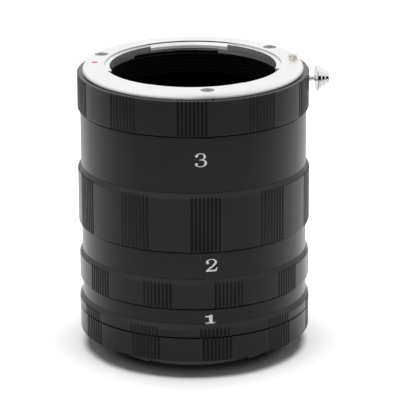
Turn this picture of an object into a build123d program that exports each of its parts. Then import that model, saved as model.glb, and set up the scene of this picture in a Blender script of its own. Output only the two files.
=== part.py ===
from build123d import *
import math
import os

# Macro extension tube set, screwed together in one stack.
# Millimetres, +Z up along the light path, lens side on top.
# The origin is on the axis, at the foot of the camera side bayonet.
os.makedirs("parts", exist_ok=True)

# Stack heights, from the camera side to the lens side
bayonet_drop = 4.9
plate_proud = 0.15
camera_ring_height = 6.75
tube_1_length = 7.9
tube_2_length = 15.75
tube_3_length = 31.4
lens_ring_height = 9.55
flange_thickness = 1.8

# Smooth band at the lens end of each tube, above its knurled band
tube_1_smooth = 4.4
tube_2_smooth = 7.75
tube_3_smooth = 15.55
step_bevel = 1.3
edge_chamfer = 0.25

# Bayonet throat: the radius between the claws drives every other radius
claw_radius = 22.2
claw_depth = 0.9
bore_relief = 4.8

# Screw joint between two sections, outwards from the bore
spigot_wall = 1.05
thread_depth = 0.45
thread_clearance = 0.05
socket_wall = 1.7
spigot_length = 2.5
spigot_clearance = 0.3
spigot_lead = 0.3

# How far each knurled band stands out from the smooth bands
camera_ring_grip = 0.75
tube_1_grip = 0.85
tube_2_grip = 0.7
tube_3_grip = 0.85
lens_ring_grip = 0.75

# Knurl: groups of axial grooves with smooth pads between them
groove_groups = 10
grooves_per_group = 8
groove_pitch = 1.05
groove_depth = 0.36
groove_width = 0.72
groove_overrun = 1.0

# Where the middle of a groove group lies on each ring, in degrees round from the front
lens_ring_phase_angle = -0.6
tube_3_phase_angle = 5.8
tube_2_phase_angle = 17.35
tube_1_phase_angle = 10.2
camera_ring_phase_angle = 11.25

# Lens side bayonet flange
flange_margin = 1.5
flange_round = 1.1
throat_step = 0.42
throat_lead_width = 0.35
throat_lead_depth = 0.85
throat_land = 0.6
skirt_step = 0.35
skirt_wall = 1.15
skirt_drop = 0.9
skirt_clearance = 0.1
claw_recess = 0.42
claw_thickness = 1.4
claw_angles = ((-11.0, 65.0), (121.0, 195.0), (240.0, 306.0))

# Chamber under the claws, with its three leaf springs
chamber_depth = 1.4
ledge_overhang = 0.1
ledge_lip_chamfer = 0.2
spring_height = 1.15
spring_strip = 0.35
spring_bow = 0.45
spring_seat_gap = 0.05
spring_turn_angle = 10.5
spring_half_angle = 35.0

# Three flange screws, countersunk, with cross recesses
screw_inset = 1.9
screw_angle = 38.0
screw_count = 3
screw_head_radius = 1.8
screw_shank_radius = 0.95
screw_clearance = 0.03
screw_length = 4.2
screw_rim = 0.25
recess_width = 0.42
recess_span = 1.9
recess_depth = 0.7

# Index bead, pressed into the flange
bead_inset = 1.65
bead_angle = 176.5
bead_radius = 0.9
bead_depth = 0.6

# Lock pin, its spring, and the button that pulls it down
pin_inset = 2.4
pin_angle = 8.0
pin_radius = 1.15
pin_clearance = 0.05
pin_height = 1.3
pin_dome = 0.25
pin_travel = 1.4
pin_bore_radius = 0.75
pin_cap = 2.6
stem_height_in_ring = 5.75
stem_radius = 0.8
stem_clearance = 0.06
stem_grip = 0.3
spring_wire_radius = 0.11
spring_coil_radius = 0.55
spring_turns = 6
pocket_floor = 0.6
button_gap = 2.3
button_step = 1.13
button_radii = (3.5, 2.72, 1.93)
button_edge = 0.3
button_dish = 0.25

# Camera side bayonet: plate, tube, three lugs and a foot lip
plate_margin = 3.0
plate_recess_clearance = 0.05
plate_thickness = 1.6
plate_chamfer = 0.3
bayonet_clearance = 0.3
bayonet_wall = 1.7
foot_step = 1.0
foot_lip_height = 0.8
foot_chamfer = 0.25
lug_clearance = 0.2
lug_thickness = 1.35
lug_angles = ((66.0, 118.0), (197.0, 237.0), (309.0, 347.0))
camera_ring_step = 3.0
camera_ring_web = 3.6
plate_screw_inset = 2.1
plate_screw_angle = 98.0
lock_notch_inset = 1.1
lock_notch_angle = 172.0
lock_notch_radius = 1.3

# Worked out radii
throat_radius = claw_radius + claw_depth
rim_radius = throat_radius + throat_lead_width
skirt_inner_radius = throat_radius + skirt_step
skirt_outer_radius = skirt_inner_radius + skirt_wall
screw_circle_radius = skirt_outer_radius + screw_inset
bead_circle_radius = skirt_outer_radius + bead_inset
pin_circle_radius = skirt_outer_radius + pin_inset
ledge_radius = claw_radius - ledge_overhang
bore_radius = claw_radius + bore_relief
spigot_radius = bore_radius + spigot_wall
socket_radius = spigot_radius + thread_depth + thread_clearance
smooth_radius = socket_radius + socket_wall
camera_ring_radius = smooth_radius + camera_ring_grip
tube_1_radius = smooth_radius + tube_1_grip
tube_2_radius = smooth_radius + tube_2_grip
tube_3_radius = smooth_radius + tube_3_grip
lens_ring_radius = smooth_radius + lens_ring_grip
flange_radius = lens_ring_radius - flange_margin
bayonet_tube_radius = claw_radius - bayonet_clearance
bayonet_bore_radius = bayonet_tube_radius - bayonet_wall
foot_lip_radius = bayonet_tube_radius - foot_step
lug_radius = throat_radius - lug_clearance
camera_ring_bore_radius = bore_radius - camera_ring_step
plate_radius = camera_ring_radius - plate_margin
plate_screw_circle_radius = plate_radius - plate_screw_inset
lock_notch_circle_radius = plate_radius - lock_notch_inset

# Worked out heights
seat_z = bayonet_drop
camera_ring_bottom = seat_z + plate_proud
tube_1_bottom = camera_ring_bottom + camera_ring_height
tube_2_bottom = tube_1_bottom + tube_1_length
tube_3_bottom = tube_2_bottom + tube_2_length
lens_ring_bottom = tube_3_bottom + tube_3_length
lens_ring_top = lens_ring_bottom + lens_ring_height
flange_top = lens_ring_top + flange_thickness
socket_depth = spigot_length + spigot_clearance
chamber_floor = lens_ring_top - chamber_depth
stem_z = lens_ring_bottom + stem_height_in_ring


def turned(points):
    """A ring turned from a closed outline of (radius, height) points."""
    outline = Polyline(*[(r, 0, z) for r, z in points], close=True)
    return revolve(make_face(outline), Axis.Z)


def around(angle, shape):
    """A shape made at +X, turned round the light path."""
    return Rot(0, 0, angle) * shape


def arc_block(inner, outer, bottom, height, start, end):
    """A block that follows the ring between two angles."""
    middle = math.radians((end - start) / 2)
    shape_edges = [
        ThreePointArc(
            (outer, 0),
            (outer * math.cos(middle), outer * math.sin(middle)),
            (outer * math.cos(2 * middle), outer * math.sin(2 * middle)),
        ),
        Line(
            (outer * math.cos(2 * middle), outer * math.sin(2 * middle)),
            (inner * math.cos(2 * middle), inner * math.sin(2 * middle)),
        ),
        ThreePointArc(
            (inner * math.cos(2 * middle), inner * math.sin(2 * middle)),
            (inner * math.cos(middle), inner * math.sin(middle)),
            (inner, 0),
        ),
        Line((inner, 0), (outer, 0)),
    ]
    face = make_face(Curve() + shape_edges)
    return Pos(0, 0, bottom) * around(start, extrude(face, height))


def groove_cutters(radius, bottom, top, phase):
    """V shaped cutters for the axial grooves of one knurled band."""
    tip = radius - groove_depth
    mouth = radius + groove_depth
    section = Polyline((tip, 0), (mouth, groove_width), (mouth, -groove_width), close=True)
    height = top - bottom + 2 * groove_overrun
    cutter = Pos(0, 0, bottom - groove_overrun) * extrude(make_face(section), height)
    pitch_angle = math.degrees(groove_pitch / radius)
    cutters = []
    for group in range(groove_groups):
        middle = -90 + phase + group * 360 / groove_groups
        for groove in range(grooves_per_group):
            offset = (groove - (grooves_per_group - 1) / 2) * pitch_angle
            cutters.append(around(middle + offset, cutter))
    return cutters


def socket_points(bottom, outer_radius):
    """Mouth of the inner thread, from the bore out to the ring's outer bottom edge."""
    return [
        (socket_radius, bottom + socket_depth),
        (socket_radius, bottom + spigot_lead),
        (socket_radius + spigot_lead, bottom),
        (outer_radius - edge_chamfer, bottom),
        (outer_radius, bottom + edge_chamfer),
    ]


def spigot_points(shoulder, outer_radius):
    """Shoulder and threaded spigot at the lens end of a section, out to in."""
    end = shoulder + spigot_length
    return [
        (outer_radius, shoulder - edge_chamfer),
        (outer_radius - edge_chamfer, shoulder),
        (spigot_radius, shoulder),
        (spigot_radius, end - spigot_lead),
        (spigot_radius - spigot_lead, end),
        (bore_radius, end),
    ]


def make_tube(bottom, length, smooth, radius, phase):
    """One numbered tube: knurled band below, smooth band and spigot above."""
    top = bottom + length
    step = top - smooth
    points = [(bore_radius, bottom + socket_depth)]
    points += socket_points(bottom, radius)
    points += [(radius, step - step_bevel), (smooth_radius, step)]
    points += spigot_points(top, smooth_radius)
    return turned(points) - groove_cutters(radius, bottom, step, phase)


def screw_hole(circle, angle, top, point_up):
    """Countersunk hole for one screw, its head face at the given height."""
    head = screw_head_radius + screw_clearance
    shank = screw_shank_radius + screw_clearance
    cone = head - shank
    outline = [
        (0, 0),
        (head, 0),
        (head, -screw_rim),
        (shank, -screw_rim - cone),
        (shank, -screw_length - screw_clearance),
        (0, -screw_length - screw_clearance),
    ]
    return place_screw(turned(outline), circle, angle, top, point_up)


def place_screw(shape, circle, angle, top, point_up):
    """Screws of the lens side point down, those of the camera side point up."""
    flip = 180 if point_up else 0
    return around(angle, Pos(circle, 0, top) * Rot(flip, 0, 0) * shape)


def screw():
    """Countersunk screw with a cross recess, head face at zero, shank downwards."""
    cone = screw_head_radius - screw_shank_radius
    outline = [
        (0, 0),
        (screw_head_radius, 0),
        (screw_head_radius, -screw_rim),
        (screw_shank_radius, -screw_rim - cone),
        (screw_shank_radius, -screw_length),
        (0, -screw_length),
    ]
    bar = Pos(0, 0, -recess_depth / 2) * Box(recess_span, recess_width, recess_depth)
    return turned(outline) - bar - Rot(0, 0, 90) * bar


def make_lens_ring():
    """Black knurled ring that carries the lens side bayonet and its lock."""
    points = [(ledge_radius, lens_ring_bottom + socket_depth)]
    points += socket_points(lens_ring_bottom, lens_ring_radius)
    points += [
        (lens_ring_radius, lens_ring_top - edge_chamfer),
        (lens_ring_radius - 2 * edge_chamfer, lens_ring_top),
        (skirt_outer_radius + skirt_clearance, lens_ring_top),
        (skirt_outer_radius + skirt_clearance, chamber_floor),
        (ledge_radius + ledge_lip_chamfer, chamber_floor),
        (ledge_radius, chamber_floor - ledge_lip_chamfer),
    ]
    ring = turned(points)
    ring -= groove_cutters(lens_ring_radius, lens_ring_bottom, lens_ring_top, lens_ring_phase_angle)
    for index in range(screw_count):
        angle = screw_angle + index * 360 / screw_count
        ring -= screw_hole(screw_circle_radius, angle, flange_top, False)
    return ring - lock_pocket() - stem_slot()


def lock_pocket():
    """Blind hole in the ring for the lock pin and its spring."""
    floor = lens_ring_bottom + socket_depth + pocket_floor
    height = flange_top - floor
    hole = Pos(pin_circle_radius, 0, floor + height / 2) * Cylinder(pin_radius + pin_clearance, height)
    return around(pin_angle, hole)


def stem_slot():
    """Upright slot through the ring's wall, as long as the stem travels."""
    half_width = stem_radius + stem_clearance
    reach = lens_ring_radius + groove_overrun - pin_circle_radius
    bar = Box(reach, 2 * half_width, pin_travel)
    round_end = Rot(0, 90, 0) * Cylinder(half_width, reach)
    middle = pin_circle_radius + reach / 2
    slot = Pos(middle, 0, stem_z - pin_travel / 2) * bar
    slot += Pos(middle, 0, stem_z) * round_end
    slot += Pos(middle, 0, stem_z - pin_travel) * round_end
    return around(pin_angle, slot)


def make_flange():
    """Chromed lens side flange: rounded rim, throat, three claws and a skirt."""
    land_top = flange_top - throat_step - throat_lead_depth
    land = land_top - throat_land
    step = skirt_inner_radius - throat_radius
    skirt_bottom = lens_ring_top - skirt_drop
    points = [
        (rim_radius, flange_top),
        (rim_radius, flange_top - throat_step),
        (throat_radius, land_top),
        (throat_radius, land),
        (skirt_inner_radius, land - step),
        (skirt_inner_radius, skirt_bottom),
        (skirt_outer_radius, skirt_bottom),
        (skirt_outer_radius, lens_ring_top),
        (flange_radius, lens_ring_top),
        (flange_radius, flange_top),
    ]
    flange = turned(points)
    rims = flange.edges().filter_by(GeomType.CIRCLE).group_by(Axis.Z)[-1]
    flange = fillet(rims.sort_by(SortBy.RADIUS)[-1], flange_round)
    claw_bottom = flange_top - claw_recess - claw_thickness
    for start, end in claw_angles:
        root = (throat_radius + skirt_outer_radius) / 2
        flange += arc_block(claw_radius, root, claw_bottom, claw_thickness, start, end)
    for index in range(screw_count):
        angle = screw_angle + index * 360 / screw_count
        flange -= screw_hole(screw_circle_radius, angle, flange_top, False)
    flange -= lock_pocket()
    bead_hole = Cylinder(bead_radius, 2 * bead_depth)
    return flange - around(bead_angle, Pos(bead_circle_radius, 0, flange_top) * bead_hole)


def make_bead():
    """Coloured index bead, flush with the flange."""
    bead = Cylinder(bead_radius, bead_depth)
    return around(bead_angle, Pos(bead_circle_radius, 0, flange_top - bead_depth / 2) * bead)


def make_claw_spring(start, end):
    """Leaf spring on edge behind a claw: ends bear on the skirt, middle bows inwards."""
    half = math.radians(spring_half_angle)
    end_radius = skirt_inner_radius - spring_seat_gap
    crown = end_radius - spring_bow
    chord_x = end_radius * math.cos(half)
    chord_y = end_radius * math.sin(half)
    outer = ThreePointArc((chord_x, -chord_y), (crown, 0), (chord_x, chord_y))
    back = spring_strip
    inner = ThreePointArc((chord_x - back, chord_y), (crown - back, 0), (chord_x - back, -chord_y))
    sides = [
        Line((chord_x, chord_y), (chord_x - back, chord_y)),
        Line((chord_x - back, -chord_y), (chord_x, -chord_y)),
    ]
    face = make_face(Curve() + [outer, sides[0], inner, sides[1]])
    strip = Pos(0, 0, chamber_floor) * extrude(face, spring_height)
    return around((start + end) / 2 + spring_turn_angle, strip)


def make_lock_pin():
    """Lock pin with a domed top, drilled from below for its spring."""
    bottom = stem_z - stem_radius
    top = flange_top + pin_height
    height = top - bottom
    body = Cylinder(pin_radius, height)
    body = fillet(body.edges().sort_by(Axis.Z)[-1], pin_dome)
    drill = Cylinder(pin_bore_radius, height - pin_cap)
    pin = Pos(0, 0, bottom + height / 2) * body
    pin -= Pos(0, 0, bottom + (height - pin_cap) / 2) * drill
    pin = around(pin_angle, Pos(pin_circle_radius, 0, 0) * pin)
    return pin - stem_rod(0)


def stem_rod(extra):
    """Rod from the pin's wall out to the button."""
    start = pin_circle_radius + pin_radius - stem_grip
    end = lens_ring_radius + button_gap + extra
    rod = Rot(0, 90, 0) * Cylinder(stem_radius, end - start)
    return around(pin_angle, Pos((start + end) / 2, 0, stem_z) * rod)


def make_lock_spring():
    """Coil spring in the pin's bore, standing on the pocket's floor."""
    floor = lens_ring_bottom + socket_depth + pocket_floor
    ceiling = flange_top + pin_height - pin_cap
    rise = ceiling - floor - 2 * spring_wire_radius
    coil = Helix(pitch=rise / spring_turns, height=rise, radius=spring_coil_radius)
    start = Plane(origin=coil @ 0, z_dir=coil % 0)
    wire = sweep(start * Circle(spring_wire_radius), path=coil)
    spring = Pos(pin_circle_radius, 0, floor + spring_wire_radius) * wire
    return around(pin_angle, spring)


def make_button():
    """Stepped button on the end of the stem."""
    bottom = lens_ring_radius + button_gap
    points = [(0, 0)]
    for index, radius in enumerate(button_radii):
        low = index * button_step
        high = low + button_step
        points += [(radius, low), (radius, high - button_edge), (radius - button_edge, high)]
    points.append((button_radii[-1] - 2 * button_edge, high))
    points.append((0, high - button_dish))
    turned_button = Rot(0, 90, 0) * turned(points)
    return around(pin_angle, Pos(bottom, 0, stem_z) * turned_button)


def make_camera_ring():
    """Black knurled ring that carries the camera side bayonet."""
    recess = plate_radius + plate_recess_clearance
    plate_top = seat_z + plate_thickness
    web_top = plate_top + camera_ring_web
    points = [
        (camera_ring_bore_radius, plate_top),
        (recess, plate_top),
        (recess, camera_ring_bottom),
        (camera_ring_radius - edge_chamfer, camera_ring_bottom),
        (camera_ring_radius, camera_ring_bottom + edge_chamfer),
    ]
    points += spigot_points(tube_1_bottom, camera_ring_radius)
    points += [(bore_radius, web_top), (camera_ring_bore_radius, web_top)]
    ring = turned(points)
    ring -= groove_cutters(camera_ring_radius, camera_ring_bottom, tube_1_bottom, camera_ring_phase_angle)
    for index in range(screw_count):
        angle = plate_screw_angle + index * 360 / screw_count
        ring -= screw_hole(plate_screw_circle_radius, angle, seat_z, True)
    return ring


def make_camera_bayonet():
    """Chromed camera side bayonet: plate let into the ring, tube, lugs and foot lip."""
    plate_top = seat_z + plate_thickness
    points = [
        (bayonet_bore_radius, 0),
        (foot_lip_radius - foot_chamfer, 0),
        (foot_lip_radius, foot_chamfer),
        (foot_lip_radius, foot_lip_height),
        (bayonet_tube_radius, foot_lip_height),
        (bayonet_tube_radius, seat_z),
        (plate_radius - plate_chamfer, seat_z),
        (plate_radius, seat_z + plate_chamfer),
        (plate_radius, plate_top),
        (bayonet_bore_radius, plate_top),
    ]
    bayonet = turned(points)
    for start, end in lug_angles:
        root = (bayonet_bore_radius + bayonet_tube_radius) / 2
        bayonet += arc_block(root, lug_radius, foot_lip_height, lug_thickness, start, end)
    for index in range(screw_count):
        angle = plate_screw_angle + index * 360 / screw_count
        bayonet -= screw_hole(plate_screw_circle_radius, angle, seat_z, True)
    notch = Cylinder(lock_notch_radius, 4 * plate_proud + plate_thickness)
    return bayonet - around(lock_notch_angle, Pos(lock_notch_circle_radius, 0, seat_z) * notch)


def screw_group(circle, first_angle, top, point_up):
    """The screws of one flange, as separate solids."""
    angles = [first_angle + index * 360 / screw_count for index in range(screw_count)]
    return Compound(children=[place_screw(screw(), circle, angle, top, point_up) for angle in angles])


nodes = {
    "camera_ring": make_camera_ring(),
    "camera_bayonet": make_camera_bayonet(),
    "camera_bayonet_screws": screw_group(plate_screw_circle_radius, plate_screw_angle, seat_z, True),
    "tube_1": make_tube(tube_1_bottom, tube_1_length, tube_1_smooth, tube_1_radius, tube_1_phase_angle),
    "tube_2": make_tube(tube_2_bottom, tube_2_length, tube_2_smooth, tube_2_radius, tube_2_phase_angle),
    "tube_3": make_tube(tube_3_bottom, tube_3_length, tube_3_smooth, tube_3_radius, tube_3_phase_angle),
    "lens_ring": make_lens_ring(),
    "bayonet_flange": make_flange(),
    "bayonet_flange_screws": screw_group(screw_circle_radius, screw_angle, flange_top, False),
    "index_bead": make_bead(),
    "lock_pin": make_lock_pin(),
    "lock_pin_spring": make_lock_spring(),
    "release_stem": stem_rod(0),
    "release_button": make_button(),
}
for number, (start, end) in enumerate(claw_angles, 1):
    nodes["claw_spring_" + str(number)] = make_claw_spring(start, end)

for name, shape in nodes.items():
    export_step(shape, "parts/" + name + ".step")
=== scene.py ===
import math

import bmesh
import bpy
from mathutils import Matrix, Vector


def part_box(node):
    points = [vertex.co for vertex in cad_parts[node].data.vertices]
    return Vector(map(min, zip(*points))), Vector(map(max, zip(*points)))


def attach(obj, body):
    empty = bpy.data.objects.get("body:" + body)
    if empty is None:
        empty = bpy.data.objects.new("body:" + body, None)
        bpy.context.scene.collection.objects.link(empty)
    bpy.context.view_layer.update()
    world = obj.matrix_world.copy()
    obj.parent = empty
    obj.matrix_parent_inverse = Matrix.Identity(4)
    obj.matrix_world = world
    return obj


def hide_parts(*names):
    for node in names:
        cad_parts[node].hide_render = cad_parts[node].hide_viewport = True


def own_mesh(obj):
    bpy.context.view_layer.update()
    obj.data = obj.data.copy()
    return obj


# Macro extension tube: the looks of every piece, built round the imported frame.
# Lengths are in millimetres, and MM makes them metres where a shape is made.
MM = 0.001
weld_distance = 0.002
small_steps = 48

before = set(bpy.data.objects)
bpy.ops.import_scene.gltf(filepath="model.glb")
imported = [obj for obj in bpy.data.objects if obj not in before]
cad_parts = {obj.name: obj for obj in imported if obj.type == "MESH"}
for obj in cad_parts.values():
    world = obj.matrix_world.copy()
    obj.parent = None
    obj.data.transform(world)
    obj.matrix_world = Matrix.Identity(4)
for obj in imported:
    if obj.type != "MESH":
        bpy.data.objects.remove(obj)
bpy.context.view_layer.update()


def low(node):
    """Lowest corner of a node, in millimetres."""
    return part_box(node)[0] / MM


def high(node):
    """Highest corner of a node, in millimetres."""
    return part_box(node)[1] / MM


def reach(node):
    """Outer radius of a node that is turned about the light path."""
    return max(high(node).x, high(node).y, -low(node).x, -low(node).y)


# Screwed joint between two sections
bore_radius = 27.0
spigot_radius = 28.05
socket_radius = 28.55
smooth_radius = 30.25
spigot_length = 2.5
socket_depth = 2.8
lead = 0.3
edge_round = 0.25
thread_pitch = 0.75
thread_height = 0.4
thread_sink = 0.02
thread_steps = 144

# Shoulders are relieved at their outer edge, which leaves a dark line between two sections
relief_width = 1.0
tube_relief = 0.36
ring_relief = 0.3

# Knurl: in each tenth of the ring a group of eight grooves, then a smooth pad
groove_groups = 10
grooves_per_group = 8
columns_per_groove = 13
column_angle = math.radians(0.15)
pad_columns = 34
groove_depth = 0.36
groove_half_columns = 4.5
lens_ring_phase = -0.6
camera_ring_phase = 11.25
group_columns = grooves_per_group * columns_per_groove
group_angle = group_columns * column_angle
sector_angle = math.tau / groove_groups

# Bevel between the knurled band and the smooth band of a tube
step_bevel = 1.3
neck_depth = 0.1

# Bore of a section, with its light trap rings
bore_steps = 300
trap_pitch = 1.0
trap_depth = 0.14

# Bayonet flange
flange_steps = 720
flange_top = high("bayonet_flange").z
lens_ring_top = high("lens_ring").z
flange_radius = reach("bayonet_flange")
flange_round = 1.42
foot_recess = 0.45
foot_rise = 0.3
throat_radius = 23.1
throat_step = 0.42
throat_lead_width = 0.5
throat_lead_depth = 0.78
throat_land = 0.8
throat_soft = 0.07
skirt_inner_radius = 23.45
skirt_outer_radius = 24.6
skirt_drop = 0.9
skirt_room = 0.1
claw_radius = 22.2
claw_top = flange_top - throat_step
claw_bottom = claw_top - 1.4
claw_angles = ((-11.0, 65.0), (121.0, 195.0), (240.0, 306.0))
chamber_floor = lens_ring_top - 1.4
ledge_radius = 22.1
ledge_lip = 0.2

# Flange screws and index bead
screw_circle = 26.5
screw_angles = (38.0, 158.0, 278.0)
screw_head_radius = 1.8
screw_shank_radius = 0.95
screw_length = 4.2
screw_rim = 0.25
screw_gap = 0.03
bead_circle = 26.25
bead_angle = 176.5
bead_radius = 0.9
bead_depth = 0.6

# Lock pin, stem and button
pin_circle = 27.0
pin_angle = 8.0
pin_radius = 1.15
pin_top = high("lock_pin").z
pin_bottom = low("lock_pin").z
pin_drill = 0.75
pin_cap = 2.6
pin_travel = 1.4
pocket_radius = 1.2
pocket_floor = low("lock_pin_spring").z
stem_height = pin_bottom + 0.8
stem_radius = 0.8
stem_start = 27.85
stem_gap = 0.06
slot_depth = 5.5
button_start = reach("lens_ring") + 2.3
button_step = 1.13
button_radii = (3.5, 2.72, 1.93)
button_edge = 0.3
button_dish = 0.25

# Camera side bayonet
plate_radius = 28.0
plate_top = high("camera_bayonet").z
seat = plate_top - 1.6
web_bore = 24.0
web_top = plate_top + 3.6
bayonet_tube_radius = 21.9
bayonet_bore_radius = 20.2
foot_radius = 20.9
foot_height = 0.8
lug_radius = 22.9
lug_top = 2.15
lug_angles = ((66.0, 118.0), (197.0, 237.0), (309.0, 347.0))
plate_screw_circle = 25.9
plate_screw_angles = (98.0, 218.0, 338.0)
lock_notch_circle = 26.9
lock_notch_angle = 172.0
lock_notch_radius = 1.3


def at_angle(radius, degrees, height=0.0):
    """A point on a circle about the light path, in metres."""
    turn = math.radians(degrees)
    return Vector((radius * math.cos(turn), radius * math.sin(turn), height)) * MM


def arc(centre_radius, centre_height, size, start, end, count):
    """Points of a rounded corner in a turned outline, by angle from outwards to upwards."""
    points = []
    for index in range(count + 1):
        turn = math.radians(start + (end - start) * index / count)
        points.append((centre_radius + size * math.cos(turn), centre_height + size * math.sin(turn)))
    return points


def object_mode():
    if bpy.context.object and bpy.context.object.mode != "OBJECT":
        bpy.ops.object.mode_set(mode="OBJECT")
    bpy.ops.object.select_all(action="DESELECT")
    bpy.context.tool_settings.mesh_select_mode = (True, False, False)


def pick(piece):
    """Object mode, with this one piece selected and active."""
    object_mode()
    piece.select_set(True)
    bpy.context.view_layer.objects.active = piece


def edit(piece):
    """Edit mode on one piece, with nothing selected in it."""
    pick(piece)
    bpy.ops.object.mode_set(mode="EDIT")
    bpy.ops.mesh.select_all(action="DESELECT")


def everything():
    """Select the whole piece, in edit mode."""
    bpy.ops.mesh.select_all(action="SELECT")


def scale_radius(scale):
    """Move what is selected towards or away from the light path."""
    bpy.ops.transform.resize(value=(scale, scale, 1), center_override=(0, 0, 0))


def choose(test, kind="VERT"):
    """Select only the vertices or faces whose place passes the test."""
    bpy.ops.mesh.select_mode(type=kind)
    bpy.ops.mesh.select_all(action="DESELECT")
    shape = bmesh.from_edit_mesh(bpy.context.object.data)
    if kind == "VERT":
        for vertex in shape.verts:
            vertex.select = test(vertex.co / MM)
        shape.select_flush(True)
    else:
        for face in shape.faces:
            face.select_set(test(face.calc_center_median() / MM))
    bmesh.update_edit_mesh(bpy.context.object.data)


def close(value, other, room=0.004):
    return abs(value - other) < room


def ring_place(place):
    """Radius, angle in degrees from 0 to 360, and height of a point."""
    return math.hypot(place.x, place.y), math.degrees(math.atan2(place.y, place.x)) % 360, place.z


def between(degrees, span, room=0.1):
    """Whether an angle lies in a span that may start below zero."""
    return (degrees - span[0] + room) % 360 < span[1] - span[0] + 2 * room


def chain(name, outline):
    """Edges through (radius, height) points, standing at +X, left selected in edit mode."""
    object_mode()
    bpy.ops.mesh.primitive_circle_add(vertices=3, radius=MM)
    piece = bpy.context.object
    piece.name = name
    piece.data.name = name
    bpy.ops.object.mode_set(mode="EDIT")
    bpy.ops.mesh.merge(type="CENTER")
    bpy.ops.transform.translate(value=(outline[0][0] * MM, 0, outline[0][1] * MM))
    for here, there in zip(outline, outline[1:]):
        bpy.ops.mesh.extrude_region()
        bpy.ops.transform.translate(value=((there[0] - here[0]) * MM, 0, (there[1] - here[1]) * MM))
    everything()
    return piece


def spin(steps, angle, copies=False):
    """Spin what is selected about the light path, from +X towards +Y."""
    bpy.ops.mesh.spin(steps=steps, angle=angle, dupli=copies, center=(0, 0, 0), axis=(0, 0, -1))


def merge():
    """Merge the doubles in what is selected."""
    bpy.ops.mesh.remove_doubles(threshold=weld_distance * MM)


def weld():
    """Merge all doubles and turn every face outwards, in edit mode."""
    bpy.ops.mesh.select_mode(type="VERT")
    everything()
    merge()
    bpy.ops.mesh.normals_make_consistent(inside=False)


def cap_ends(sides):
    """Close the open ends of a sweep and weld it, in edit mode."""
    everything()
    bpy.ops.mesh.fill_holes(sides=sides)
    weld()


def smooth(piece, degrees=28.0):
    """Round the shading across edges blunter than an angle."""
    pick(piece)
    bpy.ops.object.shade_smooth_by_angle(angle=math.radians(degrees))
    return piece


def turned(name, outline, steps, closed=True):
    """A shape turned about the light path. A closed outline makes a ring, an open one ends on the axis."""
    points = outline + outline[:1] if closed else outline
    piece = chain(name, points)
    merge()
    everything()
    spin(steps, math.tau)
    weld()
    return smooth(piece)


def solid(name, outline, steps=small_steps):
    """A shape without a bore, whose outline starts and ends on the axis."""
    return turned(name, outline, steps, closed=False)


def placed(piece, matrix):
    """Put a piece in its place and leave the place in its mesh."""
    pick(piece)
    piece.matrix_world = matrix @ piece.matrix_world
    bpy.ops.object.transform_apply(location=True, rotation=True, scale=True)
    return piece


def moved(piece, place):
    return placed(piece, Matrix.Translation(place))


def swung(piece, degrees):
    """Turn a piece about the light path."""
    return placed(piece, Matrix.Rotation(math.radians(degrees), 4, "Z"))


def copy_of(piece, name):
    """Another of the same shape, with its own mesh."""
    pick(piece)
    bpy.ops.object.duplicate(linked=False)
    twin = bpy.context.object
    twin.name = name
    twin.data.name = name
    return twin


def joined(name, pieces):
    object_mode()
    for piece in pieces:
        piece.select_set(True)
    bpy.context.view_layer.objects.active = pieces[0]
    bpy.ops.object.join()
    whole = bpy.context.object
    whole.name = name
    whole.data.name = name
    return whole


def applied(piece, kind, **settings):
    """Add a modifier with these settings and apply it."""
    pick(piece)
    modifier = piece.modifiers.new("shape", kind)
    for setting, value in settings.items():
        setattr(modifier, setting, value)
    bpy.ops.object.modifier_apply(modifier=modifier.name)
    return piece


def cut(piece, cutters):
    """Take cutters that don't touch each other out of a piece."""
    tool = joined("cutters", cutters)
    applied(piece, "BOOLEAN", operation="DIFFERENCE", solver="EXACT", object=tool)
    bpy.data.objects.remove(tool)
    return piece


def groove_levels():
    """How deep the V of a groove is at each column, and which columns lie there."""
    levels = []
    for step in range(4):
        offset = step + 0.5
        columns = set()
        for groove in range(grooves_per_group):
            middle = (groove + 0.5) * columns_per_groove
            columns.update((int(middle - offset), int(middle + offset)))
        depth = groove_depth * (1 - (offset / groove_half_columns) ** 1.2)
        levels.append((depth, columns))
    return levels


def cut_grooves(radius, bottom, top):
    """Pull the groove columns of one sector towards the axis, as deep as the V is there."""
    for depth, columns in groove_levels():
        radii = set()
        for vertex in bmesh.from_edit_mesh(bpy.context.object.data).verts:
            distance, degrees, height = ring_place(vertex.co / MM)
            if distance > radius - depth + 0.002 and bottom - 0.01 < height < top + 0.01:
                radii.add(round(distance, 3))
        for row_radius in radii:
            def in_row(place):
                distance, degrees, height = ring_place(place)
                in_band = bottom - 0.01 < height < top + 0.01
                column = round(math.radians(degrees) / column_angle)
                return in_band and close(distance, row_radius) and column in columns
            choose(in_row)
            scale = (radius - depth) / row_radius
            scale_radius(scale)


def bevel_rows(radius, step):
    """Outline points up the bevel, one at each depth at which a groove runs out."""
    points = [(radius, step - step_bevel)]
    for depth, columns in reversed(groove_levels()):
        rise = step_bevel * depth / (radius - smooth_radius)
        points.append((radius - depth, step - step_bevel + rise))
    points.append((smooth_radius, step))
    points.append((smooth_radius - neck_depth, step + neck_depth))
    points.append((smooth_radius, step + 2 * neck_depth))
    return points


def bottom_rows(radius, bottom):
    """Outline points round the lower outside edge of a ring."""
    points = arc(radius - edge_round, bottom + edge_round, edge_round, -90, 0, 3)
    return points + [(radius, bottom + 2 * edge_round)]


def socket_rows(bottom, bore):
    """Outline points from the bore out to the inner thread and its mouth."""
    return [
        (bore, bottom + socket_depth),
        (socket_radius, bottom + socket_depth),
        (socket_radius, bottom + lead),
        (socket_radius + lead, bottom),
    ]


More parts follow.
